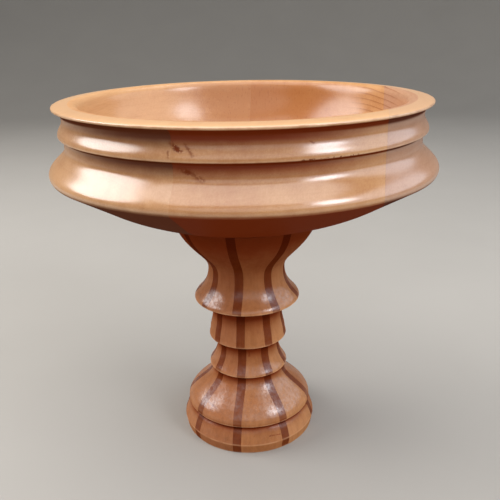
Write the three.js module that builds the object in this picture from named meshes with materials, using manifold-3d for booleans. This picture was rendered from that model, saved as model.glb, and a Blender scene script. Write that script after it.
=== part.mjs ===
// A turned wooden pedestal bowl.
// The bowl is turned from a blank of three edge-glued boards. The stem is turned from eight pale staves
// with eight dark strips between them, glued round a centre dowel that is left long as the tenon.
// Millimetres, +Z up. The origin is the middle of the foot's underside, and strip_1 faces -Y.

import * as THREE from 'three';
import { mergeVertices } from 'three/addons/utils/BufferGeometryUtils.js';
import Module from 'manifold-3d';

const wasm = await Module();
wasm.setup();

// Glue lines and facets
const glueLine = 0.3;
const bowlFacets = 60;
const stemFacets = 36;
const dowelFacets = 24;

// Foot, from the floor up
const footRadius = 50;
const footEdgeRadius = 51.2;
const footSideHeight = 7.4;
const footBandHeight = 12.2;
const footStepHeight = 1;
const footCornerRound = 0.8;
const footHollowRadius = 37;
const footHollowDepth = 1.5;

// Tiers of the stem, from the foot up. Each has a crisp lower edge with a rounded nose, a cove that narrows
// from the nose to a neck, and a short root under the next edge.
const skirt = {
  edgeRadius: 47.6,
  undercut: 3.6,
  noseThickness: 1.6,
  flankHeading: 90,
  neckRadius: 27,
  coveHeight: 28.2,
  rootHeight: 2.5,
  fullness: 0.26,
};
const lowerCollar = {
  edgeRadius: 29.7,
  noseThickness: 2.4,
  flankHeading: 126,
  neckRadius: 23.4,
  coveHeight: 17.9,
  rootHeight: 6.3,
  fullness: 0.34,
};
const drum = {
  edgeRadius: 28.8,
  noseThickness: 4.4,
  flankHeading: 94,
  neckRadius: 26.3,
  coveHeight: 19,
  rootHeight: 12.6,
  fullness: 0.34,
};
const upperCollar = {
  edgeRadius: 38.8,
  noseThickness: 4.2,
  flankHeading: 135,
  neckRadius: 28.3,
  coveHeight: 23.9,
  fullness: 0.38,
};
const edgeRound = 0.6;
const rootFlare = 1.2;

// Flare at the top of the stem, from the upper collar's neck out to the joint with the bowl
const flareHeight = 39;
const flareTurnRadius = 36.5;
const flareTurnRise = 14;
const jointRadius = 52.5;

// Stem blank. The staves are wedges sawn by hand: their angles, from strip_1 round by strip_2, share a turn
const staveWedges = [43, 44.3, 47.5, 48, 47.7, 47, 41.5, 41];
const stripThickness = 6;
const dowelRadius = 12.5;
const dowelChamfer = 1;
const tenonLength = 10;
const mortiseRoom = 0.5;

// Bowl outside, from the joint up
const rimRadius = 125;
const grooveDepth = 5.6;
const shoulderInset = 20;
const shoulderRise = 21.8;
const bigBeadProjection = 11.5;
const bigBeadRise = 17.8;
const bigBeadFlankHeight = 2.9;
const bigBeadFlankInset = 1;
const lowerGrooveRise = 16.4;
const beadProjection = 3.3;
const beadUndercut = 7.4;
const beadRound = 1.7;
const upperGrooveRise = 8.2;
const rimUndercut = 8.4;
const rimThickness = 1.9;

// Bowl inside
const wallThickness = 13;
const lipCrown = 1.5;
const lipRollWidth = 8;
const lipRollDrop = 10;
const floorThickness = 18;

// Boards of the bowl blank, which is as wide as the big bead: the middle board fills what the outer two leave
const leftBoardWidth = 116.9;
const rightBoardWidth = 36.4;

// Finishes: the same clear lacquer over woods of different tones
const lacquerRoughness = 0.28;
const paleWood = 0xd29a63;
const honeyWood = 0xc98550;
const pinkWood = 0xc58a66;
const staveWood = 0xbf7c49;
const stripWood = 0x6f3218;
const dowelWood = 0xc9a06c;

// Heights that follow from the members, from the floor up
const skirtHeight = footSideHeight + footBandHeight + footStepHeight;
const lowerCollarHeight = skirtHeight + skirt.coveHeight + skirt.rootHeight;
const drumHeight = lowerCollarHeight + lowerCollar.coveHeight + lowerCollar.rootHeight;
const upperCollarHeight = drumHeight + drum.coveHeight + drum.rootHeight;
const waistHeight = upperCollarHeight + upperCollar.coveHeight;
const jointHeight = waistHeight + flareHeight;
const seatHeight = jointHeight + glueLine;
const floorHeight = seatHeight + floorThickness;
const shoulderHeight = seatHeight + shoulderRise;
const bigBeadHeight = shoulderHeight + bigBeadRise;
const lowerGrooveHeight = bigBeadHeight + lowerGrooveRise;
const beadHeight = lowerGrooveHeight + beadUndercut;
const upperGrooveHeight = beadHeight + beadRound + upperGrooveRise;
const rimHeight = upperGrooveHeight + rimUndercut;
const grooveRadius = rimRadius - grooveDepth;
const innerRadius = grooveRadius - wallThickness;
const bigBeadRadius = grooveRadius + bigBeadProjection;

/** A cubic stretch of outline. Points are [radius, height]; heading 0 is outwards and 90 is upwards. */
function sweep(from, leaving, to, arriving, fullness) {
  const start = new THREE.Vector2(...from);
  const end = new THREE.Vector2(...to);
  const reach = fullness * start.distanceTo(end);
  const handle = (heading) => {
    const angle = THREE.MathUtils.degToRad(heading);
    return new THREE.Vector2(Math.cos(angle), Math.sin(angle)).multiplyScalar(reach);
  };
  const firstHandle = start.clone().add(handle(leaving));
  const lastHandle = end.clone().sub(handle(arriving));
  return new THREE.CubicBezierCurve(start, firstHandle, lastHandle, end);
}

/** Points along a stretch, without its last point, which the next stretch starts with. */
function points(curve, steps) {
  return curve.getPoints(steps).slice(0, -1);
}

/** A corner or an end of an outline. */
function corner(radius, height) {
  return [new THREE.Vector2(radius, height)];
}

/** Outline of one tier of the stem: along its underside, round the nose and up the cove to the neck. */
function tierOutline(tier, edgeHeight) {
  const underside = [tier.edgeRadius - edgeRound, edgeHeight];
  const lean = Math.cos(THREE.MathUtils.degToRad(tier.flankHeading));
  const flank = [tier.edgeRadius + (tier.noseThickness * lean) / 2, edgeHeight + tier.noseThickness];
  const neck = [tier.neckRadius, edgeHeight + tier.coveHeight];
  return [
    ...points(sweep(underside, 0, flank, tier.flankHeading, 0.5), 2),
    ...points(sweep(flank, tier.flankHeading, neck, 90, tier.fullness), 5),
  ];
}

/** Outline from the neck of a tier up to where the underside of the next edge starts. */
function rootOutline(tier, nextEdgeHeight) {
  const neck = [tier.neckRadius, nextEdgeHeight - tier.rootHeight];
  const root = [tier.neckRadius + rootFlare, nextEdgeHeight];
  return points(sweep(neck, 90, root, 30, 0.35), 2);
}

/** Outline of the turned foot, from the hollow under it up to the step below the skirt. */
function footOutline() {
  const footEdge = [footEdgeRadius, footSideHeight];
  const stepRadius = skirt.edgeRadius - skirt.undercut;
  const bandTop = [stepRadius, footSideHeight + footBandHeight];
  return [
    ...corner(0, footHollowDepth),
    ...corner(footHollowRadius, footHollowDepth),
    ...corner(footHollowRadius + footHollowDepth, 0),
    ...points(sweep([footRadius - footCornerRound, 0], 0, [footRadius, footCornerRound], 90, 0.5), 2),
    ...corner(footRadius, footCornerRound),
    ...points(sweep(footEdge, 112, bandTop, 158, 0.35), 3),
    ...corner(...bandTop),
    ...corner(stepRadius, skirtHeight),
  ];
}

/** Outline of the turned stem, from the axis at the foot to the axis at the joint. */
function stemOutline() {
  const waist = [upperCollar.neckRadius, waistHeight];
  const flareTurn = [flareTurnRadius, waistHeight + flareTurnRise];
  const joint = [jointRadius, jointHeight];
  return [
    ...footOutline(),
    ...tierOutline(skirt, skirtHeight),
    ...rootOutline(skirt, lowerCollarHeight),
    ...tierOutline(lowerCollar, lowerCollarHeight),
    ...rootOutline(lowerCollar, drumHeight),
    ...tierOutline(drum, drumHeight),
    ...rootOutline(drum, upperCollarHeight),
    ...tierOutline(upperCollar, upperCollarHeight),
    ...points(sweep(waist, 90, flareTurn, 46, 0.35), 3),
    ...points(sweep(flareTurn, 46, joint, 74, 0.38), 4),
    ...corner(...joint),
    ...corner(0, jointHeight),
  ];
}

/** Outline of the outside of the bowl, from the edge of the seat up to the top of the rim's nose. */
function bowlOutsideOutline() {
  const seatEdge = [jointRadius, seatHeight];
  const shoulder = [rimRadius - shoulderInset, shoulderHeight];
  const bigBead = [bigBeadRadius, bigBeadHeight];
  const arris = [bigBeadRadius - bigBeadFlankInset, bigBeadHeight - bigBeadFlankHeight];
  const lowerGroove = [grooveRadius, lowerGrooveHeight];
  const bead = [grooveRadius + beadProjection, beadHeight + beadRound];
  const beadEdge = [bead[0] - beadRound / 2, beadHeight];
  const upperGroove = [grooveRadius, upperGrooveHeight];
  const rimEdge = [rimRadius - rimThickness, rimHeight - rimThickness];
  const rimNose = [rimRadius, rimHeight];
  return [
    ...points(sweep(seatEdge, 20, shoulder, 33, 0.33), 4),
    ...corner(...shoulder),
    ...points(sweep(arris, 62, bigBead, 90, 0.4), 2),
    ...points(sweep(bigBead, 90, lowerGroove, 90, 0.3), 6),
    ...points(sweep(lowerGroove, 90, beadEdge, 15, 0.5), 3),
    ...points(sweep(beadEdge, 15, bead, 95, 0.5), 2),
    ...points(sweep(bead, 95, upperGroove, 90, 0.35), 3),
    ...points(sweep(upperGroove, 90, rimEdge, 30, 0.45), 3),
    ...points(sweep(rimEdge, 30, rimNose, 100, 0.5), 2),
  ];
}

/** Outline of the lip, the inner wall and the floor, from the rim's nose to the axis. */
function bowlInsideOutline() {
  const rimNose = [rimRadius, rimHeight];
  const crown = [innerRadius + lipRollWidth, rimHeight + lipCrown];
  const wall = [innerRadius, rimHeight + lipCrown - lipRollDrop];
  return [
    ...points(sweep(rimNose, 100, crown, 180, 0.12), 2),
    ...points(sweep(crown, 180, wall, 258, 0.5), 3),
    ...points(sweep(wall, 258, [0, floorHeight], 180, 0.42), 9),
    ...corner(0, floorHeight),
  ];
}

/** A solid for cutting, from a closed geometry whose shared corners are merged. */
function toSolid(geometry) {
  const bare = geometry.clone();
  bare.deleteAttribute('normal');
  bare.deleteAttribute('uv');
  const merged = mergeVertices(bare);
  const index = merged.index.array;
  const triVerts = [];
  for (let i = 0; i < index.length; i += 3) {
    const [a, b, c] = index.slice(i, i + 3);
    if (a !== b && b !== c && c !== a) {
      triVerts.push(a, b, c);
    }
  }
  return new wasm.Manifold(new wasm.Mesh({
    numProp: 3,
    vertProperties: new Float32Array(merged.attributes.position.array),
    triVerts: new Uint32Array(triVerts),
  }));
}

/** A geometry from a cut solid. */
function toGeometry(solid) {
  const { vertProperties, triVerts } = solid.getMesh();
  const geometry = new THREE.BufferGeometry();
  geometry.setAttribute('position', new THREE.BufferAttribute(new Float32Array(vertProperties), 3));
  geometry.setIndex(new THREE.BufferAttribute(new Uint32Array(triVerts), 1));
  return geometry;
}

/** A solid of revolution about the Z axis, from an outline that starts and ends on the axis. */
function turned(outline, facets) {
  return toSolid(new THREE.LatheGeometry(outline, facets).rotateX(Math.PI / 2));
}

/** A flat-sided prism standing on z = 0, from corners [x, y] in the plan, turned about the axis. */
function prism(corners, height, angle = 0) {
  const shape = new THREE.Shape(corners.map(([x, y]) => new THREE.Vector2(x, y)));
  return toSolid(new THREE.ExtrudeGeometry(shape, { depth: height, bevelEnabled: false }).rotateZ(angle));
}

/** One named piece in its own lacquered wood. */
function piece(name, solid, color) {
  const material = new THREE.MeshStandardMaterial({ color, roughness: lacquerRoughness, metalness: 0 });
  const mesh = new THREE.Mesh(toGeometry(solid), material);
  mesh.name = name;
  return mesh;
}

/** The bore that the centre dowel is glued in, from the floor up to a height. */
function dowelBore(top) {
  const radius = dowelRadius + glueLine;
  const bore = new THREE.CylinderGeometry(radius, radius, top, dowelFacets);
  return toSolid(bore.rotateX(Math.PI / 2).translate(0, 0, top / 2));
}

/** The three boards of the bowl: what lies between the glue lines of the turned blank. */
function bowlBoards() {
  const reach = 2 * bigBeadRadius;
  const top = 2 * rimHeight;
  const outline = [...corner(0, seatHeight), ...bowlOutsideOutline(), ...bowlInsideOutline()];
  const blank = turned(outline, bowlFacets).subtract(dowelBore(jointHeight + tenonLength + mortiseRoom));
  const board = (name, left, right, color) => {
    const slab = prism([[left, -reach], [right, -reach], [right, reach], [left, reach]], top);
    return piece(name, blank.intersect(slab), color);
  };
  const half = glueLine / 2;
  const leftGlueLine = leftBoardWidth - bigBeadRadius;
  const rightGlueLine = bigBeadRadius - rightBoardWidth;
  return [
    board('bowl_board_left', -reach, leftGlueLine - half, paleWood),
    board('bowl_board_middle', leftGlueLine + half, rightGlueLine - half, honeyWood),
    board('bowl_board_right', rightGlueLine + half, reach, pinkWood),
  ];
}

/** The dark strips and the pale staves between them, cut from the turned and bored stem blank. */
function stemPieces() {
  const reach = 2 * Math.max(footEdgeRadius, jointRadius);
  const top = 2 * jointHeight;
  const blank = turned(stemOutline(), stemFacets).subtract(dowelBore(top));
  const wholeTurn = staveWedges.reduce((sum, wedge) => sum + wedge);
  const half = stripThickness / 2;
  const stripPlan = [[-half, 0], [-half, -reach], [half, -reach], [half, 0]];
  const pieces = [];
  let stripAngle = 0;
  staveWedges.forEach((wedge, i) => {
    const halfWedge = (Math.PI * wedge) / wholeTurn;
    const heart = (half + glueLine) / Math.sin(halfWedge);
    const spread = reach * Math.tan(halfWedge);
    const stavePlan = [[0, -heart], [-spread, -heart - reach], [spread, -heart - reach]];
    const strip = blank.intersect(prism(stripPlan, top, stripAngle));
    const stave = blank.intersect(prism(stavePlan, top, stripAngle + halfWedge));
    pieces.push(piece(`strip_${i + 1}`, strip, stripWood), piece(`stave_${i + 1}`, stave, staveWood));
    stripAngle += 2 * halfWedge;
  });
  return pieces;
}

/** The dowel through the stem, whose top end is the tenon in the bowl's blind mortise. */
function centreDowel() {
  const top = jointHeight + tenonLength;
  const outline = [
    ...corner(0, footHollowDepth),
    ...corner(dowelRadius, footHollowDepth),
    ...corner(dowelRadius, top - dowelChamfer),
    ...corner(dowelRadius - dowelChamfer, top),
    ...corner(0, top),
  ];
  return piece('centre_dowel', turned(outline, dowelFacets), dowelWood);
}

const group = new THREE.Group();
group.add(...bowlBoards(), ...stemPieces(), centreDowel());

export default group;
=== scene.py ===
# %% [markdown]
# # A turned wooden pedestal bowl
#
# The real bowl is turned on a lathe from glued-up wood: a bowl blank of three boards, and a stem blank of
# eight pale staves with eight dark strips between them. Everything that shows is a surface of revolution,
# cut by the glue lines. So each piece here is worked out as one: an outline of radius and height, carried
# round the axis between the angles where the glue lines cut it. The finish is a clear gloss lacquer over
# stained wood.
#
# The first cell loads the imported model, which gives the sizes that the pieces below have to fit.

# %% Load the frame
import math

import bmesh
import bpy
import numpy as np
from mathutils import Matrix, Vector


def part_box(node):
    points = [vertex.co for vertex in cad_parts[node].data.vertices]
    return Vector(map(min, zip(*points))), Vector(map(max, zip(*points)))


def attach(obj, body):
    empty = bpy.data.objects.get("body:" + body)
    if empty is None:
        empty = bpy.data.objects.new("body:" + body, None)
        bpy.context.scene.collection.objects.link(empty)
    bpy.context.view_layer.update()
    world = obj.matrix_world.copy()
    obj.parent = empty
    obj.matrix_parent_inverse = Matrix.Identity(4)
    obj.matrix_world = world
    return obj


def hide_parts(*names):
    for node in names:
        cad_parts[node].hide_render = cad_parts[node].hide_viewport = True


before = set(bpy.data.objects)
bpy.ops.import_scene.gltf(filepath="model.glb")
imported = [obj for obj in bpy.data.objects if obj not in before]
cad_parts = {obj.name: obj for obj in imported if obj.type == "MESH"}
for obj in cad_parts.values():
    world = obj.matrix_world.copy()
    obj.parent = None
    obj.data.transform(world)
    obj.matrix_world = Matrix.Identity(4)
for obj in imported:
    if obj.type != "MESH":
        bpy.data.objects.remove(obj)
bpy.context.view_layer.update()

print("The frame holds", len(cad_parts), "nodes")

# %% [markdown]
# ## The camera
# The camera stands where the photograph was taken from: a hand's height above the rim, 0.42 m from the
# axis, and looking down a little. The strip that faces the front is turned 11.25 degrees from the line of
# sight. The focal length is known in pixels of the 500-pixel photograph, and Blender wants it as
# millimetres on a sensor.

# %% Camera
photo_pixels = 500
focal_pixels = 613
sensor_width = 36
camera_azimuth = math.radians(11.25)
camera_distance = 0.424
camera_height = 0.3003
camera_yaw = math.radians(0.387)
camera_pitch = math.radians(20.44)
camera_roll = math.radians(-1.076)


def make_camera():
    """A camera on the circle about the bowl's axis, turned to the axis and then by yaw, pitch and roll."""
    data = bpy.data.cameras.new("photo_camera")
    data.sensor_fit = "HORIZONTAL"
    data.sensor_width = sensor_width
    data.lens = focal_pixels / photo_pixels * sensor_width
    data.clip_start = 0.01
    camera = bpy.data.objects.new("photo_camera", data)
    turn = Matrix.Rotation(camera_azimuth - camera_yaw, 4, "Z")
    tilt = Matrix.Rotation(math.pi / 2 - camera_pitch, 4, "X")
    roll = Matrix.Rotation(camera_roll, 4, "Z")
    place = Vector((math.sin(camera_azimuth), -math.cos(camera_azimuth), 0)) * camera_distance
    place.z = camera_height
    camera.matrix_world = Matrix.Translation(place) @ turn @ tilt @ roll
    bpy.context.scene.collection.objects.link(camera)
    bpy.context.scene.camera = camera
    return camera


camera = make_camera()
print("Camera at", [round(value, 4) for value in camera.matrix_world.translation])
print("Lens of", round(camera.data.lens, 2), "mm on a sensor of", sensor_width, "mm")

# %% [markdown]
# ## Sizes from the frame
# Outlines are easiest to read in millimetres, as on a maker's drawing, and Blender works in metres. The
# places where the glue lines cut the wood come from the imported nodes: each line lies midway between two
# boards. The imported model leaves 0.3 mm at each glue line, where the real film of glue is a hair's breadth,
# so the pieces here are wider by the difference.

# %% Glue lines, strips and dowel
MM = 0.001
left_board_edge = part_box("bowl_board_left")[1].x / MM
middle_board_low, middle_board_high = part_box("bowl_board_middle")
right_board_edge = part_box("bowl_board_right")[0].x / MM
left_glue_line = (left_board_edge + middle_board_low.x / MM) / 2
right_glue_line = (right_board_edge + middle_board_high.x / MM) / 2
glue_gap = middle_board_low.x / MM - left_board_edge
glue_film = 0.04

strip_low, strip_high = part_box("strip_1")
strip_thickness = (strip_high.x - strip_low.x) / MM + glue_gap - glue_film
joint_height = strip_high.z / MM
seat_height = middle_board_low.z / MM
dowel_low, dowel_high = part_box("centre_dowel")
dowel_radius = dowel_high.x / MM
bore_radius = dowel_radius + glue_film
print("Glue lines at", round(left_glue_line, 2), "and", round(right_glue_line, 2), "mm")
print("Strips of", round(strip_thickness, 2), "mm, joint at", round(joint_height, 2), "mm")

# %% [markdown]
# ## Outlines
# A turner's outline is a run of beads, coves and crisp edges. Each stretch is a cubic Bezier curve that is
# given by its two ends, the headings there and one number for how full it swells, so a bead or a cove takes
# one line.

# %% One stretch of outline
def heading(degrees):
    """The direction of a heading in an outline: 0 is outwards and 90 is upwards."""
    return np.array([math.cos(math.radians(degrees)), math.sin(math.radians(degrees))])


def sweep(start, leaving, end, arriving, fullness, steps):
    """Points on a cubic Bezier curve from start to end, as rows of radius and height in millimetres.

    Both handles are fullness times the distance between the ends, along the two headings. With t from 0 to
    1, the points are (1-t)^3 start + 3t(1-t)^2 first + 3t^2(1-t) last + t^3 end, where first and last are
    the handles' tips. The end itself is left out.
    """
    start, end = np.array(start, float), np.array(end, float)
    reach = fullness * np.linalg.norm(end - start)
    first, last = start + reach * heading(leaving), end - reach * heading(arriving)
    t = np.linspace(0, 1, steps, endpoint=False)[:, None]
    return (1 - t) ** 3 * start + 3 * t * (1 - t) ** 2 * first + 3 * t**2 * (1 - t) * last + t**3 * end


def straight(start, end, steps):
    """Points evenly spaced along a straight line, without its end."""
    t = np.linspace(0, 1, steps, endpoint=False)[:, None]
    return (1 - t) * np.array(start, float) + t * np.array(end, float)


# %% [markdown]
# ## The stem's outline
# From the floor up the stem has a shallow hollow under its foot, a foot, a wide skirt, a lower collar, a
# drum, an upper collar and a flare. The skirt, collars and drum are the same form in four sizes: a crisp
# undercut edge, a rounded nose, a long cove and a short root under the next edge.

# %% Sizes of the stem
foot_radius = 50
foot_edge_radius = 51.2
foot_side_height = 7.4
foot_band_height = 12.2
foot_step_height = 1
foot_round = 0.8
hollow_radius = 37
hollow_depth = dowel_low.z / MM
skirt_undercut = 3.6
edge_round = 0.6
root_flare = 1.2
flare_turn_radius = 36.5
flare_turn_rise = 14
joint_radius = 52.5

# Headings are in degrees, where 0 is outwards and 90 is upwards.
foot_band_headings = (112, 158)
root_heading = 30
flare_heading = 46
joint_heading = 74

# A tier's lengths are in millimetres from its own edge, and flank is the heading where its nose ends.
tiers = [
    dict(name="skirt", edge=47.6, nose=1.6, flank=90, neck=27, cove=28.2, root=2.5, fullness=0.26),
    dict(name="lower collar", edge=29.7, nose=2.4, flank=126, neck=23.4, cove=17.9, root=6.3, fullness=0.34),
    dict(name="drum", edge=28.8, nose=4.4, flank=94, neck=26.3, cove=19, root=12.6, fullness=0.34),
    dict(name="upper collar", edge=38.8, nose=4.2, flank=135, neck=28.3, cove=23.9, root=0, fullness=0.38),
]


# %% The stem's outline
def tier_outline(tier, height):
    """One tier: from its undercut edge round the nose and up the cove, then the root of the next one."""
    lean = tier["nose"] * math.cos(math.radians(tier["flank"])) / 2
    flank = (tier["edge"] + lean, height + tier["nose"])
    neck = (tier["neck"], height + tier["cove"])
    root = (tier["neck"] + root_flare, neck[1] + tier["root"])
    stretches = [
        sweep((tier["edge"] - edge_round, height), 0, flank, tier["flank"], 0.5, 8),
        sweep(flank, tier["flank"], neck, 90, tier["fullness"], 26),
    ]
    if tier["root"]:
        stretches += [sweep(neck, 90, root, root_heading, 0.35, 8), np.array([root])]
    return stretches


def foot_outline():
    """The hollow under the foot, the ring that the bowl stands on, the foot's side and the skirt's step."""
    ring = (hollow_radius + hollow_depth, 0)
    toe = (foot_radius - foot_round, 0)
    side = (foot_radius, foot_round)
    edge = (foot_edge_radius, foot_side_height)
    band_top = (tiers[0]["edge"] - skirt_undercut, foot_side_height + foot_band_height)
    return [
        straight((bore_radius, hollow_depth), (hollow_radius, hollow_depth), 12),
        straight((hollow_radius, hollow_depth), ring, 3),
        straight(ring, toe, 4),
        sweep(toe, 0, side, 90, 0.5, 6),
        straight(side, edge, 6),
        sweep(edge, foot_band_headings[0], band_top, foot_band_headings[1], 0.35, 16),
        straight(band_top, (band_top[0], band_top[1] + foot_step_height), 2),
        np.array([(band_top[0], band_top[1] + foot_step_height)]),
    ]


def stem_outline():
    """The closed outline of the bored stem: foot, four tiers, flare, joint face, and back down the bore."""
    stretches = foot_outline()
    height = foot_side_height + foot_band_height + foot_step_height
    for tier in tiers:
        stretches += tier_outline(tier, height)
        height += tier["cove"] + tier["root"]
    turn = (flare_turn_radius, height + flare_turn_rise)
    joint = (joint_radius, joint_height)
    stretches += [
        sweep((tiers[-1]["neck"], height), 90, turn, flare_heading, 0.35, 12),
        sweep(turn, flare_heading, joint, joint_heading, 0.38, 18),
        straight(joint, (bore_radius, joint_height), 6),
        straight((bore_radius, joint_height), (bore_radius, hollow_depth), 12),
        np.array([(bore_radius, hollow_depth)]),
    ]
    return np.concatenate(stretches)


stem = stem_outline()
print("Stem outline:", len(stem), "points, widest", stem[:, 0].max(), "mm")

# %% [markdown]
# ## The bowl's outline
# Outside, the bowl rises from the joint along a shallow underside to a crisp arris, swells to the big bead,
# draws in to a groove, swells to a small bead, draws in again and ends in a thin rim. Inside, a broad flat
# lip rolls down into one sweep of wall and floor. The outline below starts at the top of the blind mortise,
# so the middle board, which holds the stem's tenon, gets its socket too.

# %% Sizes of the bowl
rim_radius = 125
groove_depth = 5.6
shoulder_inset = 20
shoulder_rise = 21.8
big_bead_projection = 11.5
big_bead_rise = 17.8
flank_height = 2.9
flank_inset = 1
arris_round = 0.5
lower_groove_rise = 16.4
bead_projection = 3.3
bead_undercut = 7.4
bead_round = 1.7
upper_groove_rise = 8.2
rim_undercut = 8.4
rim_thickness = 1.9
wall_thickness = 13
lip_crown = 1.5
lip_roll_width = 8
lip_roll_drop = 10
floor_thickness = 18
mortise_room = 0.5

# Headings in degrees, as on the stem.
seat_heading = 20
underside_heading = 33
arris_headings = (31, 62)
bead_edge_heading = 15
bead_side_heading = 95
rim_under_heading = 30
rim_side_heading = 100
wall_heading = 258

groove_radius = rim_radius - groove_depth
inner_radius = groove_radius - wall_thickness
big_bead_radius = groove_radius + big_bead_projection
shoulder_height = seat_height + shoulder_rise
big_bead_height = shoulder_height + big_bead_rise
lower_groove_height = big_bead_height + lower_groove_rise
bead_height = lower_groove_height + bead_undercut
upper_groove_height = bead_height + bead_round + upper_groove_rise
rim_height = upper_groove_height + rim_undercut
floor_height = seat_height + floor_thickness


# %% The bowl's outline
def bowl_outside():
    """The socket for the tenon, the seat, the underside, both beads and grooves, and the rim's edge."""
    mortise_top = dowel_high.z / MM + mortise_room
    seat_edge = (joint_radius, seat_height)
    shoulder = (rim_radius - shoulder_inset, shoulder_height)
    arris = np.array([big_bead_radius - flank_inset, big_bead_height - flank_height])
    below = arris - arris_round * heading(arris_headings[0])
    above = arris + arris_round * heading(arris_headings[1])
    big_bead = (big_bead_radius, big_bead_height)
    lower_groove = (groove_radius, lower_groove_height)
    bead = (groove_radius + bead_projection, bead_height + bead_round)
    bead_edge = (bead[0] - bead_round / 2, bead_height)
    upper_groove = (groove_radius, upper_groove_height)
    rim_edge = (rim_radius - rim_thickness, rim_height - rim_thickness)
    return [
        straight((0, mortise_top), (bore_radius, mortise_top), 4),
        straight((bore_radius, mortise_top), (bore_radius, seat_height), 4),
        straight((bore_radius, seat_height), seat_edge, 8),
        sweep(seat_edge, seat_heading, shoulder, underside_heading, 0.33, 24),
        straight(shoulder, below, 12),
        sweep(below, arris_headings[0], above, arris_headings[1], 0.4, 6),
        sweep(above, arris_headings[1], big_bead, 90, 0.4, 12),
        sweep(big_bead, 90, lower_groove, 90, 0.3, 32),
        sweep(lower_groove, 90, bead_edge, bead_edge_heading, 0.5, 16),
        sweep(bead_edge, bead_edge_heading, bead, bead_side_heading, 0.5, 10),
        sweep(bead, bead_side_heading, upper_groove, 90, 0.35, 18),
        sweep(upper_groove, 90, rim_edge, rim_under_heading, 0.45, 18),
        sweep(rim_edge, rim_under_heading, (rim_radius, rim_height), rim_side_heading, 0.5, 8),
    ]


def bowl_inside():
    """The lip from the rim's nose to its crown, its roll, and the wall and floor as one sweep."""
    crown = (inner_radius + lip_roll_width, rim_height + lip_crown)
    wall = (inner_radius, rim_height + lip_crown - lip_roll_drop)
    return [
        sweep((rim_radius, rim_height), rim_side_heading, crown, 180, 0.12, 14),
        sweep(crown, 180, wall, wall_heading, 0.5, 24),
        sweep(wall, wall_heading, (0, floor_height), 180, 0.42, 90),
        np.array([(0, floor_height)]),
    ]


bowl = np.concatenate(bowl_outside() + bowl_inside())
print("Bowl outline:", len(bowl), "points, widest", bowl[:, 0].max(), "mm")
print("The bowl reaches up to", round(bowl[:, 1].max(), 2), "mm")

# %% [markdown]
# ## Four measures along an outline
# A lacquered bowl that has been handled for years isn't one colour, and here shade is painted into the colour
# too: painted shade darkens the wood where an edge overhangs and on the underside, and crisp edges are
# painted paler, partly as wear of the lacquer and partly as a painted highlight. One way to get this is to
# bake the shade of the whole model into textures. A turned shape is simpler: each point of an outline gets
# four measures, which are stored on the meshes as attributes for the finishes. They say how near an edge
# overhangs the point, whether it is inside the bowl, how far the surface faces up there and how crisp the
# outline is.

# %% Shelter, inside, upward and crispness
# The flare of the stem is overhung by the bowl, so the overhangs are looked for in both outlines.
whole = np.concatenate([stem, bowl])
least_rise = 0.3

# The bowl's grooves are dark only close under an edge. In the stem's coves the shade reaches further down.
bowl_overhang = dict(reach=12, further=0, cover=2, past=0, lean=0, facing=-0.2)
stem_overhang = dict(reach=38, further=0.85, cover=0.5, past=5, lean=1.5, facing=-0.75)


def shelter(outline, reach, further, cover, past, lean, facing):
    """How near above a point an edge overhangs it, from 0 for none within reach to 1 right under an edge.

    Points of the whole outline overhang it that lie over least_rise higher and whose upward measure is below
    facing. The greatest product of closeness and share counts. Closeness is 1 - rise / (reach + further *
    out), where out is how far the higher point juts out past this one. Share is (out + past) / (cover + past
    + lean * rise). Both are kept between 0 and 1, and lengths are in millimetres. The inside of the bowl has
    no shelter.
    """
    overhanging = whole[upward(whole) < facing]
    out = overhanging[None, :, 0] - outline[:, None, 0]
    rise = np.maximum(overhanging[None, :, 1] - outline[:, None, 1], 0)
    closeness = np.clip(1 - rise / (reach + further * np.maximum(out, 0)), 0, 1) * (rise > least_rise)
    share = np.clip((out + past) / (cover + past + lean * rise), 0, 1)
    return (closeness * share).max(axis=1) * (1 - inside(outline))


def inside(outline):
    """1 where the outline runs down and inwards, as on the bowl's inner wall and floor, and 0 elsewhere."""
    step = np.gradient(outline, axis=0)
    return ((step[:, 0] <= 0) & (step[:, 1] < 0)).astype(float)


def upward(outline):
    """How far the surface faces up: 1 for flat ground, 0 for an upright wall and -1 for a ceiling.

    That is the upright share of the outward normal, which for a step outwards of a and upwards of b is
    -a / sqrt(a^2 + b^2).
    """
    step = np.gradient(outline, axis=0)
    return -step[:, 0] / np.maximum(np.hypot(step[:, 0], step[:, 1]), 1e-9)


def crispness(outline, reach=0.7, full=60):
    """How sharply the outline turns outwards, from 0 where it is straight or hollow to 1 at a crisp edge.

    The turn is the angle between the step to a point from reach millimetres before it and the step from it
    to reach millimetres after it. It is divided by full degrees and kept between 0 and 1.
    """
    along = np.concatenate([[0], np.cumsum(np.linalg.norm(np.diff(outline, axis=0), axis=1))])
    before = outline - np.stack([np.interp(along - reach, along, side) for side in outline.T], axis=-1)
    after = np.stack([np.interp(along + reach, along, side) for side in outline.T], axis=-1) - outline
    turn = np.arctan2(before[:, 0] * after[:, 1] - before[:, 1] * after[:, 0], (before * after).sum(axis=1))
    return np.clip(turn / math.radians(full), 0, 1)


sheltered = shelter(whole, **bowl_overhang) > 0.5
crisp = crispness(whole) > 0.5
print("Points under an edge:", int(sheltered.sum()), "points on a crisp edge:", int(crisp.sum()))

# %% [markdown]
# ## Carrying an outline round the axis
# A turned piece is one grid: a row for each point of the outline and a column for each angle. Where a glue
# line cuts the piece, the first and last angle of a row depend on its radius, so the edge of the grid lies
# exactly in the plane of the glue line. The flat glue faces close the solid.

# %% Grids and meshes
def turned_grid(outline, low, high, columns):
    """Vertices of a surface of revolution: x = r cos(angle), y = r sin(angle), z = height.

    Each row's angle runs from its own low to its own high value in equal steps.
    """
    share = np.linspace(0, 1, columns)
    angle = low[:, None] + (high - low)[:, None] * share
    radius = outline[:, :1]
    height = np.broadcast_to(outline[:, 1:], angle.shape)
    return np.stack([radius * np.cos(angle), radius * np.sin(angle), height], axis=-1)


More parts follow.
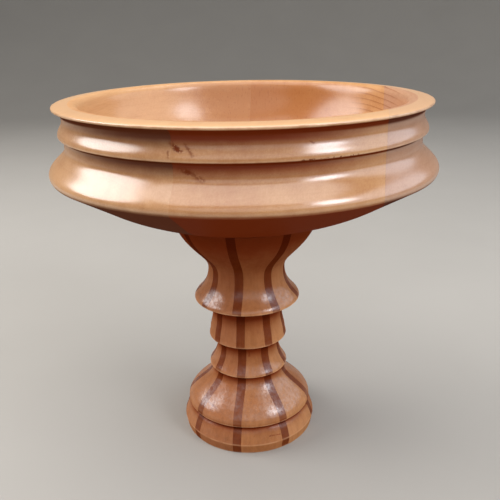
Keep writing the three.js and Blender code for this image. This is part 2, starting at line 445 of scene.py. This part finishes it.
def grid_faces(rows, columns, first):
    """The four-cornered faces of a grid whose vertices are numbered row by row from first."""
    corner = first + np.arange(rows * columns).reshape(rows, columns)
    quads = np.stack([corner[:-1, :-1], corner[:-1, 1:], corner[1:, 1:], corner[1:, :-1]], axis=-1)
    return quads.reshape(-1, 4).tolist()


def wooden_piece(node, outline, grids, walls, overhang, sharp=35):
    """A closed mesh object from grids that share an outline, with flat walls given as lists of vertices.

    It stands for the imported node, and its name is the node's with turned_ before it. Overhang holds the
    values that its shelter is worked out with, and edges sharper than sharp degrees aren't smoothed.
    """
    name = f"turned_{node}"
    columns = grids[0].shape[1]
    faces = []
    for number in range(len(grids)):
        faces += grid_faces(len(outline), columns, number * len(outline) * columns)
    mesh = bpy.data.meshes.new(name)
    mesh.from_pydata(np.concatenate(grids).reshape(-1, 3) * MM, [], faces + walls)
    measures = {
        "shelter": shelter(outline, **overhang),
        "inside": inside(outline),
        "upward": upward(outline),
        "crispness": crispness(outline),
    }
    for title, values in measures.items():
        layer = mesh.attributes.new(title, "FLOAT", "POINT")
        layer.data.foreach_set("value", np.tile(np.repeat(values, columns), len(grids)).astype(np.float32))
    shape = bmesh.new()
    shape.from_mesh(mesh)
    bmesh.ops.remove_doubles(shape, verts=shape.verts, dist=1e-6)
    bmesh.ops.recalc_face_normals(shape, faces=shape.faces)
    shape.to_mesh(mesh)
    shape.free()
    mesh.shade_smooth()
    mesh.set_sharp_from_angle(angle=math.radians(sharp))
    piece = bpy.data.objects.new(name, mesh)
    bpy.context.scene.collection.objects.link(piece)
    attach(piece, "root")
    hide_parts(node)
    return piece


# %% [markdown]
# ## The three boards of the bowl
# A circle of radius r lies between two upright planes x = left and x = right where its angle runs from
# arccos(right / r) to arccos(left / r), once in front of the bowl and once behind. So a board is two grids
# that mirror each other. Where a plane only just touches the circles, the edge bends fast, and the outline
# gets extra points there.

# %% Boards
def with_points_at(outline, radii):
    """The outline with extra points where its straight steps cross any of the radii."""
    start, step = outline[:-1], np.diff(outline, axis=0)
    with np.errstate(divide="ignore", invalid="ignore"):
        share = (radii[:, None] - start[:, 0]) / step[:, 0]
    which, where = np.nonzero((share > 1e-6) & (share < 1 - 1e-6))
    share = share[which, where]
    extra = start[where] + share[:, None] * step[where]
    order = np.argsort(np.concatenate([np.arange(len(outline)), where + share]), kind="stable")
    return np.concatenate([outline, extra])[order]


def bowl_board(node, left, right, columns):
    """A board of the turned bowl, between the upright planes x = left and x = right.

    The extra points lie at the listed lengths in millimetres along a plane from where a circle touches it.
    """
    planes = [plane for plane in (left, right) if abs(plane) < big_bead_radius]
    near_touch = np.array([0, 0.7, 1.5, 2.5, 4, 6, 9, 13])
    outline = with_points_at(bowl, np.concatenate([np.hypot(plane, near_touch) for plane in planes]))
    least = max(left, -right, 0)
    outline = outline[outline[:, 0] >= least - 1e-6]
    radius = np.maximum(outline[:, 0], 1e-9)
    low = np.arccos(np.clip(right / radius, -1, 1))
    high = np.arccos(np.clip(left / radius, -1, 1))
    grids = [turned_grid(outline, low, high, columns), turned_grid(outline, -high, -low, columns)]
    walls = []
    for plane in planes:
        rows = np.nonzero(outline[:, 0] >= abs(plane) - 1e-6)[0]
        near, far = (0, columns - 1) if plane == right else (columns - 1, 0)
        behind = rows * columns + near
        front = (len(outline) + rows) * columns + far
        walls.append([*behind.tolist(), *front[::-1].tolist()])
    return wooden_piece(node, outline, grids, walls, bowl_overhang)


half_film = glue_film / 2
outer = big_bead_radius + 1
left_cut = (left_glue_line - half_film, left_glue_line + half_film)
right_cut = (right_glue_line - half_film, right_glue_line + half_film)
wide_board_columns = 150
narrow_board_columns = 70
boards = [
    bowl_board("bowl_board_left", -outer, left_cut[0], wide_board_columns),
    bowl_board("bowl_board_middle", left_cut[1], right_cut[0], wide_board_columns),
    bowl_board("bowl_board_right", right_cut[1], outer, narrow_board_columns),
]
for board in boards:
    print(board.name, "has", len(board.data.polygons), "faces")

# %% [markdown]
# ## The strips, the staves and the dowel
# A strip keeps its thickness all the way out, so at radius r it spans an angle of arcsin(half its thickness
# / r) to each side of its middle. A stave fills what two strips leave, which makes it a wedge. Both run
# through the whole stem, round the bore of the centre dowel. The wedges were sawn by hand, so they share
# the turn unevenly.

# %% Strips, staves and dowel
def stem_piece(node, middle, half_angles, columns):
    """A strip or stave of the turned stem, as wide at each radius as half_angles says to each side."""
    grid = turned_grid(stem, middle - half_angles, middle + half_angles, columns)
    rows = np.arange(len(stem) - 1) * columns
    walls = [rows.tolist(), (rows + columns - 1).tolist()]
    return wooden_piece(node, stem, [grid], walls, stem_overhang)


strip_columns = 7
stave_columns = 25
stave_wedges = np.array([43, 44.3, 47.5, 48, 47.7, 47, 41.5, 41])
half_wedges = stave_wedges / stave_wedges.sum() * math.pi
strip_middles = -math.pi / 2 + 2 * (np.cumsum(half_wedges) - half_wedges)
stave_middles = strip_middles + half_wedges
strip_spread = np.arcsin(strip_thickness / 2 / stem[:, 0])
film_spread = np.arcsin((strip_thickness / 2 + glue_film) / stem[:, 0])
strips, staves = [], []
for number, half_wedge in enumerate(half_wedges):
    middle = strip_middles[number]
    strips.append(stem_piece(f"strip_{number + 1}", middle, strip_spread, strip_columns))
    stave_spread = half_wedge - film_spread
    middle = stave_middles[number]
    staves.append(stem_piece(f"stave_{number + 1}", middle, stave_spread, stave_columns))
print(len(strips), "strips and", len(staves), "staves, each with", len(staves[0].data.polygons), "faces")


def centre_dowel(chamfer=1, columns=73):
    """The dowel from the foot's hollow up to the tenon's chamfered end, as one grid all the way round."""
    bottom, top = hollow_depth, dowel_high.z / MM
    outline = np.concatenate([
        straight((0, bottom), (dowel_radius, bottom), 6),
        straight((dowel_radius, bottom), (dowel_radius, top - chamfer), 10),
        straight((dowel_radius, top - chamfer), (dowel_radius - chamfer, top), 2),
        straight((dowel_radius - chamfer, top), (0, top), 4),
        np.array([(0, top)]),
    ])
    full = np.full(len(outline), 2 * math.pi)
    grid = turned_grid(outline, 0 * full, full, columns)
    return wooden_piece("centre_dowel", outline, [grid], [], stem_overhang)


dowel = centre_dowel()
print("Dowel from", round(dowel_low.z, 4), "to", round(dowel_high.z, 4), "m")

# %% [markdown]
# ## Sums on sockets
# A shader is arithmetic on sockets. This class wraps one socket of a node tree, so that an expression such
# as 1 - mask * 0.5 adds the Math nodes for it. Colours and vectors go through the Mix and Vector Math
# nodes.

# %% A socket that can be used in sums
class Wire:
    """One output socket of a material's node tree."""

    def __init__(self, tree, socket=None):
        """Keeps the tree and the socket. One without a socket is only there to add nodes."""
        self.tree = tree
        self.socket = socket

    def node(self, kind, settings=None, values=None, output=0):
        """Adds a node, sets its settings, then its inputs, and gives back one of its outputs."""
        made = self.tree.nodes.new(kind)
        for title, setting in (settings or {}).items():
            setattr(made, title, setting)
        for title, value in (values or {}).items():
            if isinstance(value, Wire):
                self.tree.links.new(value.socket, made.inputs[title])
            else:
                made.inputs[title].default_value = value
        return Wire(self.tree, made.outputs[output])

    def maths(self, operation, *values):
        """The result of a Math node on all the values that are listed."""
        return self.node("ShaderNodeMath", {"operation": operation}, dict(enumerate(values)))

    def vectors(self, operation, first, second, output=0):
        """The result of a Vector Math node on two places or directions."""
        return self.node("ShaderNodeVectorMath", {"operation": operation}, {0: first, 1: second}, output)

    def __add__(self, other):
        return self.maths("ADD", self, other)

    def __radd__(self, other):
        return self.maths("ADD", other, self)

    def __sub__(self, other):
        return self.maths("SUBTRACT", self, other)

    def __rsub__(self, other):
        return self.maths("SUBTRACT", other, self)

    def __mul__(self, other):
        return self.maths("MULTIPLY", self, other)

    def __truediv__(self, other):
        return self.maths("DIVIDE", self, other)

    def __pow__(self, other):
        return self.maths("POWER", self, other)

    def between(self, low, high):
        """Rises smoothly from 0 at low to 1 at high, or falls where low is the larger."""
        if low > high:
            return 1 - self.between(high, low)
        ends = {"Value": self, "From Min": low, "From Max": high}
        return self.node("ShaderNodeMapRange", {"interpolation_type": "SMOOTHSTEP"}, ends)

    def mix(self, first, second):
        """The first colour where this is 0, and the second where it is 1.

        A Mix node has its colours at inputs 6 and 7 and output 2.
        """
        colours = {"Factor": self, 6: first, 7: second}
        return self.node("ShaderNodeMix", {"data_type": "RGBA"}, colours, 2)


def tone(code):
    """A colour for a socket from the hexadecimal sRGB code that a picture program shows, with alpha 1."""
    shares = [int(code[place:place + 2], 16) / 255 for place in (1, 3, 5)]
    linear = [share / 12.92 if share < 0.04045 else ((share + 0.055) / 1.055) ** 2.4 for share in shares]
    return (*linear, 1)


# %% [markdown]
# ## What wood shows
# Wood is a solid pattern: rings about a pith that runs along the grain, fine fibres and short dark pores
# drawn out along the grain. Worked out from the place in the solid, it shows long streaks on a face along
# the grain and dots and arcs on end grain, without any further work. The bowl's boards have their grain
# along Y, and the stem's pieces along Z.

# %% Grain
def place_in(tree):
    """The place in the object, in metres."""
    return Wire(tree).node("ShaderNodeTexCoord", output="Object")


def spread(place, size, stretch):
    """The place in steps of size metres, drawn out by stretch along X, Y and Z."""
    steps = tuple(1 / (size * share) for share in stretch)
    return place.vectors("MULTIPLY", place, steps)


def noise(place, size, stretch=(1, 1, 1), detail=2):
    """Smooth noise about 0.5, in blobs of about size metres drawn out by stretch."""
    values = {"Vector": spread(place, size, stretch), "Scale": 1, "Detail": detail}
    return place.node("ShaderNodeTexNoise", {}, values)


def split(place):
    """The three coordinates of a place."""
    return [place.node("ShaderNodeSeparateXYZ", {}, {"Vector": place}, name) for name in "XYZ"]


def stroke(place, start, end, width):
    """1 on the straight line between two points in millimetres, falling to 0 at width millimetres from it.

    The share of the way along is the dot product of the way from start and the line, over the line's length
    squared, kept between 0 and 1.
    """
    start = np.array(start) * MM
    line = np.array(end) * MM - start
    away = place.vectors("SUBTRACT", place, tuple(start))
    share = away.vectors("DOT_PRODUCT", away, tuple(line / (line @ line)), "Value")
    share = share.maths("MAXIMUM", share, 0)
    share = share.maths("MINIMUM", share, 1)
    foot = share.node("ShaderNodeVectorMath", {"operation": "SCALE"}, {0: tuple(line), "Scale": share})
    return away.vectors("DISTANCE", away, foot, "Value").between(width * MM, 0)


def ragged(place, size):
    """A short way to and fro, up to 0.4 of size, for moving a place so that a mark's edge is uneven."""
    steps = {"Vector": spread(place, size, (1, 1, 1)), "Scale": 1}
    wander = place.node("ShaderNodeTexNoise", {}, steps, "Color")
    centred = place.vectors("SUBTRACT", wander, (0.5, 0.5, 0.5))
    return place.node("ShaderNodeVectorMath", {"operation": "SCALE"}, {0: centred, "Scale": size * 0.8})


def near(place, centre, reach):
    """1 close to a centre given in millimetres, falling to 0 at reach millimetres from it."""
    centre = tuple(value * MM for value in centre)
    return place.vectors("DISTANCE", place, centre, "Value").between(reach * MM, 0.4 * reach * MM)


def rings(across, pith, width, wander, place):
    """Dark late-wood lines, from 0 to 1, about a pith along the grain.

    The distance to the pith, moved to and fro by noise, is counted in ring widths. Within a ring the tone
    rises with the fourth power of the part that is done, and drops back where the next ring starts.
    """
    sway = (noise(place, 0.05, detail=1) - 0.5) * wander
    first = across[0] - pith[0]
    second = across[1] - pith[1]
    distance = (first * first + second * second) ** 0.5 + sway
    count = distance / width
    return count.maths("FRACT", count) ** 4


def attribute(tree, name):
    """A value that is stored on the mesh."""
    return Wire(tree).node("ShaderNodeAttribute", {"attribute_name": name}, output="Fac")


def new_material(name):
    """An empty material with nodes."""
    material = bpy.data.materials.new(name)
    material.use_nodes = True
    return material


# %% [markdown]
# ## Lacquer
# The wood under the lacquer is matt: it only has colour. All the gloss is the clear coat's, whose weight
# falls where the painted shade and stain are dark, because nobody polishes under an edge. One could make the
# wood itself shiny, but then its colour and its gloss couldn't be set apart. An index of 2 makes the coat
# mirror more than a lacquer of 1.5, so that soft lights of modest power leave highlights as bright as real
# windows do.
# The coat isn't dead flat. Slow waves in its height make the reflections wander, as brushed lacquer does,
# and fine slanting scuffs break their edges.

# %% The lacquered surface
wood_roughness = 0.5
coat_index = 2.0
wave_length = 0.011
wave_height = 0.00005
scuff_width = 0.0007
scuff_stretch = (1, 7, 12)
scuff_height = 0.00001
scuff_slant = math.radians(35)


def lacquered(material, colour, relief, coat, coat_roughness):
    """Finishes a material: matt wood under a clear coat, with the relief of the wood in metres."""
    tree = material.node_tree
    shader = tree.nodes["Principled BSDF"]
    place = place_in(tree)
    waves = (noise(place, wave_length, detail=1) - 0.5) * wave_height
    slanted = place.node("ShaderNodeMapping", {}, {"Vector": place, "Rotation": (0, scuff_slant, 0)})
    scuffs = (noise(slanted, scuff_width, scuff_stretch) - 0.5) * scuff_height
    bump_values = {"Height": relief + waves + scuffs, "Strength": 1.0, "Distance": 1.0}
    bump = Wire(tree).node("ShaderNodeBump", {}, bump_values, "Normal")
    tree.links.new(colour.socket, shader.inputs["Base Color"])
    tree.links.new(bump.socket, shader.inputs["Normal"])
    tree.links.new(coat.socket, shader.inputs["Coat Weight"])
    shader.inputs["Roughness"].default_value = wood_roughness
    shader.inputs["Specular IOR Level"].default_value = 0.0
    shader.inputs["Coat Roughness"].default_value = coat_roughness
    shader.inputs["Coat IOR"].default_value = coat_index
    return material


def painted_shade_and_wear(tree, colour, dark, worn_and_highlight_tone, place, soak_and_shade=1, downward_shade=0, full=0.9):
    """The colour with painted shade where an edge overhangs, in a dark stain's tone, and a paler tone on
    crisp edges that is partly wear and partly a painted highlight; also the share of painted shade and stain.

    Soak is how much of the dark tone the wood takes up, from 0 to 1: more on end grain, which drinks stain,
    and on the bowl's underside, where it is painted shade. The downward shade, painted shade on faces that
    look down, is added to the shelter, and full is the shelter that takes the whole dark tone.
    """
    uneven = (noise(place, 0.012, detail=3) - 0.5) * 0.2
    # Painted shade: the dark tone is laid where an edge overhangs and where faces look down.
    shade_and_stain = (attribute(tree, "shelter") + uneven + downward_shade).between(0.05, full) * soak_and_shade
    colour = (shade_and_stain * 0.96).mix(colour, tone(dark))
    # Crisp edges are painted paler, partly wear of the lacquer and partly a painted highlight.
    patches = noise(place, 0.008, detail=3).between(0.35, 0.65)
    edge_wear_and_highlight = attribute(tree, "crispness") * (0.3 + patches * 0.5) * (1 - shade_and_stain)
    return edge_wear_and_highlight.mix(colour, tone(worn_and_highlight_tone)), shade_and_stain


# %% [markdown]
# ## The bowl's wood
# The three boards are cut from different planks: pale on the left, honey in the middle and pinkish on the
# right. Their grain runs from front to back, so the front and the back of the turned bowl show end grain,
# which drinks more stain. The broad lip, which faces up, is painted paler as painted light from above, and
# dark late-wood lines cross the inner wall at the right. The grooves and the underside are darkened with
# painted shade. The lathe tool tore the grain in a few places, and knocks have chipped an edge. One could
# paint such marks on an unwrapped texture. Here each is a short stroke in space with a ragged edge, so
# nothing has to be unwrapped.

# %% Tears and chips
# A tear has two ends and a width. A chipped stretch and the ring figure have a centre and a reach. All are
# in millimetres.
tears = [
    ((-14, -118.6, 243), (-10.5, -120, 240.5), 3.2),
    ((-12, -119.3, 241.4), (-8.4, -120.8, 239.3), 2),
    ((-6.5, -119.3, 242.6), (-1.9, -122, 237.6), 1.7),
    ((-15.4, -120.2, 239.1), (-15.1, -121.6, 236.3), 1.5),
    ((-5.8, -119.1, 229.2), (2.1, -119.7, 224.4), 3),
    ((-10.5, -119, 230.5), (-6, -119.2, 228.2), 2.6),
    ((55.2, -105.9, 243.1), (57.2, -105.1, 242), 0.9),
]
chipped_stretches = [((56, -109, 235.6), 9), ((68, -102, 235.2), 8), ((77, -95, 234.2), 5)]
ring_figure = ((88, 54, 247), 42)


def torn_and_chipped(tree, place):
    """How badly the wood is damaged, from 0 to 1: ragged tears, and nibbles out of a crisp edge."""
    rough_edge = place.vectors("ADD", place, ragged(place, 0.0022))
    patchy = noise(place, 0.0014).between(0.3, 0.52)
    torn = sum(stroke(rough_edge, *tear) for tear in tears) * patchy
    edge = attribute(tree, "crispness").between(0.1, 0.5)
    nibbled = noise(place, 0.0018).between(0.5, 0.58) * edge
    chipped = nibbled * sum(near(place, *stretch) for stretch in chipped_stretches)
    return (torn * 0.62 + chipped * 0.75).between(0, 1)


# %% Bowl wood
# The lip's tone is painted light on the lip, which faces up.
lip_light_tone = "#e6b88a"
line_tone = "#7a3c1a"
damage_tone = "#6e3014"
# The edge tone is partly wear and partly a painted highlight on crisp edges.
bowl_edge_wear_and_highlight_tone = "#dcb48c"
bowl_coat_roughness = 0.22
fibre_height = 0.00002
damage_depth = 0.00012


def board_figure(place, pale, deep, ring, fibre, deeper):
    """The bare board's colour, from pale to deep by its rings, fibres, streaks and slow clouds."""
    streak = noise(place, 0.006, (1, 14, 1))
    cloud = noise(place, 0.045, (1, 2.5, 1))
    amount = 0.3 + ring * 0.08 + (fibre - 0.5) * 0.5 + (streak - 0.5) * 0.5 + (cloud - 0.5) * 0.7 + deeper
    return amount.between(0, 1).mix(tone(pale), tone(deep))


def bowl_wood(name, pale, deep, dark, pith, ring_width, inner_gloss):
    """Lacquered hardwood with its grain along Y, with painted shade that darkens the grooves and the
    underside.

    A turned wall cuts square across the grain where y^2 / (x^2 + y^2) is 1, and along it where that is 0.
    The flat floor shows no end grain anywhere.
    """
    material = new_material(name)
    tree = material.node_tree
    place = place_in(tree)
    x, y, z = split(place)
    indoors = attribute(tree, "inside")
    facing = attribute(tree, "upward")
    square_on = y * y / (x * x + y * y + 1e-6)
    end_grain = square_on.between(0.3, 1) * facing.between(0.98, 0.75)
    fibre = noise(place, 0.0009, (1, 30, 1), detail=3)
    ring = rings((x, z), pith, ring_width, 0.004, place)
    deeper = end_grain * 0.3 + indoors * (end_grain * 0.35)
    colour = board_figure(place, pale, deep, ring, fibre, deeper)
    # Painted light: the lip, which faces up, is painted paler, as if lit from above.
    lip = facing.between(0.75, 0.97) * (1 - indoors)
    colour = (lip * 0.6).mix(colour, tone(lip_light_tone))
    pore_share = 0.06 + end_grain * (0.08 + indoors * 0.18)
    pores = noise(place, 0.0012, (1, 14, 2.2)).between(0.54, 0.7) * pore_share
    lines = pores + ring * near(place, *ring_figure) * (1 - lip) * 0.6
    colour = lines.between(0, 1).mix(colour, tone(line_tone))
    # Painted shade: faces that look down, most of all the underside, take more of the dark tone.
    underneath = facing.between(-0.2, -0.6)
    soak_and_shade = 0.25 + underneath.maths("MAXIMUM", square_on.between(0.3, 0.95), underneath) * 0.75
    downward_shade = facing.between(0.1, -0.5) * 0.4
    colour, shade_and_stain = painted_shade_and_wear(tree, colour, dark, bowl_edge_wear_and_highlight_tone, place, soak_and_shade, downward_shade)
    damage = torn_and_chipped(tree, place)
    colour = damage.mix(colour, tone(damage_tone))
    relief = (fibre - 0.5) * fibre_height - damage * damage_depth
    polished = 0.9 - shade_and_stain * 0.8 - indoors * (0.9 - inner_gloss)
    coat = polished * (1 - underneath * 0.75) * (1 - damage * 0.8)
    return lacquered(material, colour, relief, coat, bowl_coat_roughness)


honey_pith = (0.05, -0.12)
# The third tone of each board is the dark tone of its painted shade in the grooves and on the underside.
woods = [
    bowl_wood("pale_board_lacquered", "#c8996c", "#a9744a", "#5a2a18", (-0.09, -0.06), 0.0045, 0.38),
    bowl_wood("honey_board_lacquered", "#c29060", "#a46a3c", "#72280c", honey_pith, 0.0038, 0.48),
    bowl_wood("pink_board_lacquered", "#b6896b", "#9a6c4e", "#582a1c", honey_pith, 0.0038, 0.48),
]
for board, wood in zip(boards, woods):
    board.data.materials.append(wood)
print("Bowl finishes:", [wood.name for wood in woods])

# %% [markdown]
# ## The stem's woods
# The staves are tan woods with straight grain, no two quite alike, and the strips are a red-brown one. One
# material for all of them would show the same streaks on each. A Mapping node turns and shifts the pattern
# with each piece instead, so each shows its own figure. The stem has had more knocks than the bowl: its
# lacquer is full of small dents, one patch at the left is rubbed dull, and there are a few dark nicks.
# Its coves are darkened with painted shade under each edge, and its crisp edges are painted paler, partly
# wear and partly a painted highlight.

# %% Stem woods
# The patch has a centre and a reach, and a knock has two ends and a width, in millimetres.
dull_patch = ((-20, -24, 44), 19)
knocks = [
    ((5.1, -22.7, 70.9), (5.1, -23, 66.8), 1.3),
    ((-24.2, -34.5, 31.1), (-17.6, -39.6, 30), 1.5),
    ((-21.6, -39.2, 28.4), (-19.3, -35.2, 33), 1.4),
    ((23.7, -43.3, 12.6), (30.5, -39.1, 12), 1),
]
# The edge tone is partly wear and partly a painted highlight on crisp edges.
stem_edge_wear_and_highlight_tone = "#e0aa80"
stem_coat_roughness = 0.24
stem_pith = (0.16, 0.02)
shift_per_piece = 0.37
dent_depth = 0.00006


def stem_figure(place, pale, deep, fibre):
    """The bare stick's colour, from pale to deep by its rings, fibres, streaks and slow clouds."""
    x, y = split(place)[:2]
    ring = rings((x, y), stem_pith, 0.0022, 0.004, place)
    streak = noise(place, 0.003, (1, 1, 22))
    cloud = noise(place, 0.03, (1, 1, 1.5))
    amount = 0.35 + ring * 0.08 + (fibre - 0.5) * 0.45 + (streak - 0.5) * 0.8 + (cloud - 0.5) * 0.6
    return amount.between(0, 1).mix(tone(pale), tone(deep))


def stem_wood(name, middle, pale, deep, dark, number):
    """Lacquered wood with its grain along Z, turned to the piece's own place round the stem.

    Painted shade darkens it under overhanging edges. The coat fades fast where that painted shade and stain
    lie, and upright and overhanging faces have little of it.
    """
    material = new_material(name)
    tree = material.node_tree
    whole_place = place_in(tree)
    own_place = {"Rotation": (0, 0, -middle), "Location": (0, 0, number * shift_per_piece)}
    place = whole_place.node("ShaderNodeMapping", {}, {"Vector": whole_place, **own_place})
    fibre = noise(place, 0.0007, (1, 1, 30), detail=3)
    colour = stem_figure(place, pale, deep, fibre)
    colour, shade_and_stain = painted_shade_and_wear(tree, colour, dark, stem_edge_wear_and_highlight_tone, place, full=0.78)
    dents = noise(place, 0.002, (1, 1, 1.6)).between(0.4, 0.62)
    rough_edge = place.vectors("ADD", whole_place, ragged(place, 0.002))
    knocked = sum(stroke(rough_edge, *knock) for knock in knocks) * noise(place, 0.0013).between(0.3, 0.5)
    colour = (knocked * 0.7).mix(colour, tone(dark))
    relief = (fibre - 0.5) * fibre_height - dents * dent_depth - knocked * damage_depth
    polish = 0.12 + attribute(tree, "upward").between(0, 0.7) * 0.88
    rubbed = near(whole_place, *dull_patch) * 0.75
    coat = (1 - shade_and_stain * 0.9) ** 1.6 * 0.74 * polish * (1 - dents * 0.5) * (1 - rubbed)
    return lacquered(material, colour, relief, coat, stem_coat_roughness)


# %% The staves, strips and dowel get their woods
stave_tones = [
    ("#b07246", "#915832"), ("#bc8052", "#9c653c"), ("#aa6c42", "#8d532e"), ("#ba7a4c", "#9a5f38"),
    ("#ae6e44", "#905631"), ("#a96a40", "#8c532f"), ("#ac7048", "#905935"), ("#aa6c46", "#8c5431"),
]
# The third tone of the staves, the strips and the dowel is the painted shade under the stem's edges, in a
# dark stain's tone, and it also colours the dark nicks.
stave_shade_and_stain = "#722a0e"
strip_tones = ("#7c3c1a", "#642a11", "#541a06")
dowel_tones = ("#d8b483", "#b98d5a", "#8a6238")

# A piece's number says how far its wood is shifted, so that no two show the same figure.
first_stave_number = 9
dowel_number = 20

for number, (strip, stave) in enumerate(zip(strips, staves)):
    strip_name = f"strip_{number + 1}_lacquered"
    strip.data.materials.append(stem_wood(strip_name, strip_middles[number], *strip_tones, number))
    stave_name = f"stave_{number + 1}_lacquered"
    tones = (*stave_tones[number], stave_shade_and_stain)
    own_number = number + first_stave_number
    stave.data.materials.append(stem_wood(stave_name, stave_middles[number], *tones, own_number))

# Only the dowel's end shows, in the hollow under the foot. It has the same finish over a paler wood.
dowel.data.materials.append(stem_wood("dowel_bare", 0, *dowel_tones, dowel_number))
print("Stem finishes:", len(strips) + len(staves) + 1)

# %% [markdown]
# ## Floor and light
# The floor is a plain pale disc whose far edge curls up, like a photographer's paper sweep, so that no
# horizon shows from any side. Large soft lights stand where the room had its windows and bright walls,
# because the lacquer shows their reflections on the beads. A picture of a room all round the bowl could do
# the same, but single lights are easier to move until each highlight sits in its place. The fill in front
# only lightens the wood, so it is kept out of the reflections.

# %% Floor
def make_floor(reach=1.8, curl=1.2, columns=97):
    """A flat round floor at height 0 whose edge curls up by a quarter circle."""
    angle = np.linspace(0, math.pi / 2, 24)
    edge = np.stack([reach + curl * np.sin(angle), curl * (1 - np.cos(angle))], axis=-1)
    outline = np.concatenate([[(0, 0)], [(0.6, 0)], edge])
    full = np.full(len(outline), 2 * math.pi)
    grid = turned_grid(outline, 0 * full, full, columns)
    mesh = bpy.data.meshes.new("studio_floor")
    mesh.from_pydata(grid.reshape(-1, 3), [], grid_faces(len(outline), columns, 0))
    mesh.shade_smooth()
    floor = bpy.data.objects.new("studio_floor", mesh)
    bpy.context.scene.collection.objects.link(floor)
    return floor


def paper(name, colour, mottled):
    """Plain pale paper with the faintest mottling, from one colour to the other."""
    material = new_material(name)
    tree = material.node_tree
    mottle = noise(place_in(tree), 0.15, detail=3)
    shade = mottle.mix(tone(colour), tone(mottled))
    shader = tree.nodes["Principled BSDF"]
    tree.links.new(shade.socket, shader.inputs["Base Color"])
    shader.inputs["Roughness"].default_value = 0.8
    return material


floor = make_floor()
floor.data.materials.append(paper("studio_paper", "#a8a39c", "#a29d96"))
print("Floor:", len(floor.data.polygons), "faces")


# %% Lights
def soft_light(name, azimuth, elevation, distance, size, power, colour, shape="ELLIPSE", mirrored=True):
    """An area light that looks at the bowl from an azimuth and elevation in degrees.

    Azimuth 0 is in front of the bowl, and 90 is to its right. Distance and size are in metres, and power is
    in watts. A light that isn't mirrored leaves no highlight.
    """
    data = bpy.data.lights.new(name, "AREA")
    data.shape = shape
    data.size, data.size_y = size
    data.energy = power
    data.color = colour
    light = bpy.data.objects.new(name, data)
    turn, lift = math.radians(azimuth), math.radians(elevation)
    away = Vector((math.sin(turn) * math.cos(lift), -math.cos(turn) * math.cos(lift), math.sin(lift)))
    light.location = away * distance + Vector((0, 0, 0.2))
    light.rotation_mode = "QUATERNION"
    light.rotation_quaternion = away.to_track_quat("Z", "Y")
    light.visible_camera = False
    light.visible_glossy = mirrored
    bpy.context.scene.collection.objects.link(light)


def make_world(strength, colour):
    """A faint even light from all around."""
    world = bpy.data.worlds.new("studio_air")
    world.use_nodes = True
    background = world.node_tree.nodes["Background"]
    background.inputs["Color"].default_value = colour
    background.inputs["Strength"].default_value = strength
    bpy.context.scene.world = world


soft_light("left_window", -87, 33, 1.7, (1.4, 1.25), 24.5, (1, 1, 1))
soft_light("right_window", 65, 36, 1.7, (0.6, 0.68), 9.5, (0.93, 0.95, 1))
soft_light("right_wall", 92, 24, 1.7, (3.2, 1.1), 15, (0.76, 0.87, 1))
soft_light("room", 12, 31, 2, (3, 1.3), 7.5, (0.92, 0.96, 1))
soft_light("ceiling", 191, 88, 1.15, (1.7, 1.7), 19.5, (1, 0.99, 0.98), "RECTANGLE")
soft_light("front_fill", 3, 34, 2, (2.4, 0.7), 9.5, (1, 0.97, 0.94), "RECTANGLE", mirrored=False)
make_world(0.08, (1, 0.98, 0.97, 1))
bpy.context.scene.view_settings.view_transform = "Standard"
